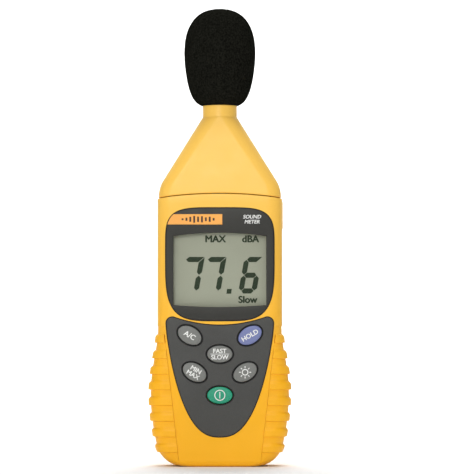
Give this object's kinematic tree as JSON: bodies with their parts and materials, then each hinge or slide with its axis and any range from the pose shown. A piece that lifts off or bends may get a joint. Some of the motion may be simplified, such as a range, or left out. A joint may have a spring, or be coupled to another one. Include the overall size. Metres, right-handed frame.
{
  "type": "sound level meter",
  "caption": "Hand-held sound level meter: tapered case with foam-covered microphone, liquid crystal display, keypad, ribbed soft side grips and a battery door at the back.",
  "frame": {"origin": "middle of the foot, on the surface the meter stands on", "axes": "+Z along the meter towards the microphone, -Y out of the display, +X to the right of someone who faces the display"},
  "size_m": [0.072, 0.0362, 0.2318],
  "materials": {
    "case_plastic": "satin moulded, yellow-orange",
    "grip_rubber": "soft over-moulding, deeper orange",
    "bezel_plastic": "fine texture, near black",
    "clear_lens": "clear",
    "badge_film": "printed film",
    "black_plastic": "moulded",
    "display_grey": "grey-green display",
    "light_guide": "milky",
    "silicone_grey": "silicone",
    "panel_plastic": "fine texture, dark grey",
    "key_grey": "satin",
    "key_blue": "satin",
    "key_green": "satin",
    "circuit_board": "solder mask",
    "steel": "nickel plated",
    "capacitor_sleeve": "shrink sleeve",
    "ribbon_film": "flat cable",
    "black_rubber": "moulded rubber",
    "foam": "open-cell foam, black",
    "trimmer_blue": "moulded",
    "brass": "machined",
    "battery_jacket": "printed steel jacket, plain",
    "red_lead": "insulated wire"
  },
  "bodies": {
    "meter": {"front_case": "case_plastic", "rear_case": "case_plastic", "nose_cone": "case_plastic", "left_grip": "grip_rubber", "right_grip": "grip_rubber", "display_bezel": "bezel_plastic", "display_lens": "clear_lens", "badge_plate": "badge_film", "lcd_frame": "black_plastic", "lcd_glass": "display_grey", "backlight_panel": "light_guide", "zebra_strips": "silicone_grey", "keypad_panel": "panel_plastic", "key_mat": "silicone_grey", "main_board": "circuit_board", "processor_chips": "black_plastic", "crystal_can": "steel", "filter_capacitors": "capacitor_sleeve", "shield_can": "steel", "preamp_board": "circuit_board", "preamp_ribbon": "ribbon_film", "mic_lead": "black_rubber", "mic_sleeve": "steel", "mic_capsule": "steel", "mic_grid": "steel", "mic_gasket": "black_rubber", "output_jack": "black_plastic", "trimmer_body": "trimmer_blue", "battery_tray": "black_plastic", "battery": "battery_jacket", "battery_snap": "black_rubber", "battery_leads": "red_lead", "tripod_insert": "brass", "case_screws": "steel", "board_screws": "steel"},
    "weighting_key": {"key_weighting": "key_grey"},
    "hold_key": {"key_hold": "key_blue"},
    "response_key": {"key_response": "key_grey"},
    "minmax_key": {"key_minmax": "key_grey"},
    "backlight_key": {"key_backlight": "key_grey"},
    "power_key": {"key_power": "key_green"},
    "foam_ball": {"windscreen": "foam"},
    "rear_door": {"battery_door": "case_plastic"},
    "side_cover": {"jack_cover": "grip_rubber"},
    "trimmer_screw": {"trimmer_rotor": "brass"}
  },
  "joints": [
    {"name": "weighting_key_press", "type": "slide", "parent": "meter", "child": "weighting_key", "axis": [0, 1, 0], "range_m": [0, 0.0008], "stiffness_N_per_m": 500, "springref_m": -0.0006},
    {"name": "hold_key_press", "type": "slide", "parent": "meter", "child": "hold_key", "axis": [0, 1, 0], "range_m": [0, 0.0008], "stiffness_N_per_m": 500, "springref_m": -0.0006},
    {"name": "response_key_press", "type": "slide", "parent": "meter", "child": "response_key", "axis": [0, 1, 0], "range_m": [0, 0.0008], "stiffness_N_per_m": 500, "springref_m": -0.0006},
    {"name": "minmax_key_press", "type": "slide", "parent": "meter", "child": "minmax_key", "axis": [0, 1, 0], "range_m": [0, 0.0008], "stiffness_N_per_m": 500, "springref_m": -0.0006},
    {"name": "backlight_key_press", "type": "slide", "parent": "meter", "child": "backlight_key", "axis": [0, 1, 0], "range_m": [0, 0.0008], "stiffness_N_per_m": 500, "springref_m": -0.0006},
    {"name": "power_key_press", "type": "slide", "parent": "meter", "child": "power_key", "axis": [0, 1, 0], "range_m": [0, 0.0008], "stiffness_N_per_m": 500, "springref_m": -0.0006},
    {"name": "windscreen_slide", "type": "slide", "parent": "meter", "child": "foam_ball", "axis": [0, 0, 1], "range_m": [0, 0.04]},
    {"name": "battery_door_swing", "type": "hinge", "parent": "meter", "child": "rear_door", "pos_m": [0, 0.0165, 0.0657], "axis": [1, 0, 0], "range_deg": [0, 75]},
    {"name": "jack_cover_swing", "type": "hinge", "parent": "meter", "child": "side_cover", "pos_m": [0.0319, 0, 0.1337], "axis": [0, -1, 0], "range_deg": [0, 110]},
    {"name": "trimmer_turn", "type": "hinge", "parent": "meter", "child": "trimmer_screw", "pos_m": [0.028, -0.0015, 0.1224], "axis": [1, 0, 0], "range_deg": [-135, 135]}
  ]
}
